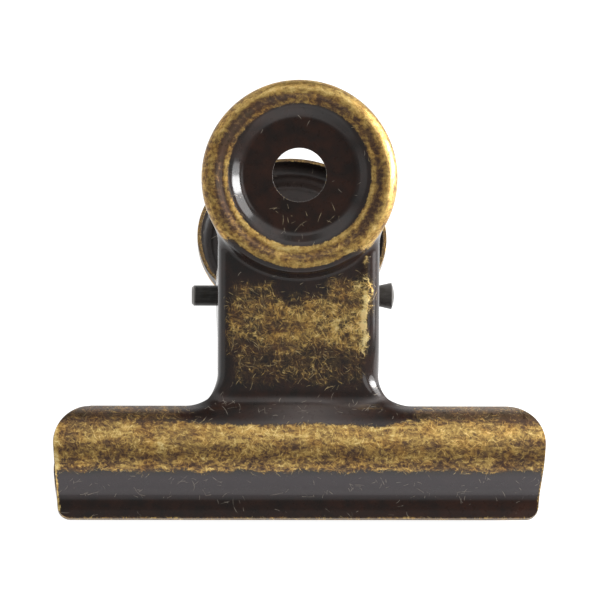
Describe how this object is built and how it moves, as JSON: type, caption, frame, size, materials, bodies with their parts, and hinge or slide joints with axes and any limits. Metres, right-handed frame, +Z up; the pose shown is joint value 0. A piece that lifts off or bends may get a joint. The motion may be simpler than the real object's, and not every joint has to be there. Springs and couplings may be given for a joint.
{
  "type": "bulldog clip",
  "caption": "Sprung paper clip of pressed sheet: long bellied jaws, stems hinged on a pin through nested ears, coiled torsion spring, dished round thumb discs with hang holes.",
  "frame": {"origin": "on the table under the middle of the clip's bounding box, the clip lying on its back", "axes": "+X along the jaws, +Y from the lips towards the thumb discs, +Z up out of the table"},
  "size_m": [0.05, 0.0448, 0.0279],
  "materials": {
    "plate_front": "antique brass plating, dark lacquer rubbed through to gold on the high parts",
    "plate_rear": "antique brass plating, dark lacquer rubbed through to gold on the high parts",
    "pin": "dark oxidised steel",
    "spring": "dark drawn spring wire"
  },
  "bodies": {
    "rear_half": {"rear_plate": "plate_rear", "torsion_spring": "spring"},
    "front_half": {"front_plate": "plate_front", "hinge_pin": "pin"}
  },
  "joints": [
    {"name": "jaw_hinge", "type": "hinge", "parent": "rear_half", "child": "front_half", "pos_m": [0, 0.00075, 0.00967], "axis": [-1, 0, 0], "range_deg": [0, 62], "stiffness_Nm_per_rad": 0.135, "springref_deg": -91.67, "deforming": ["torsion_spring"]}
  ]
}
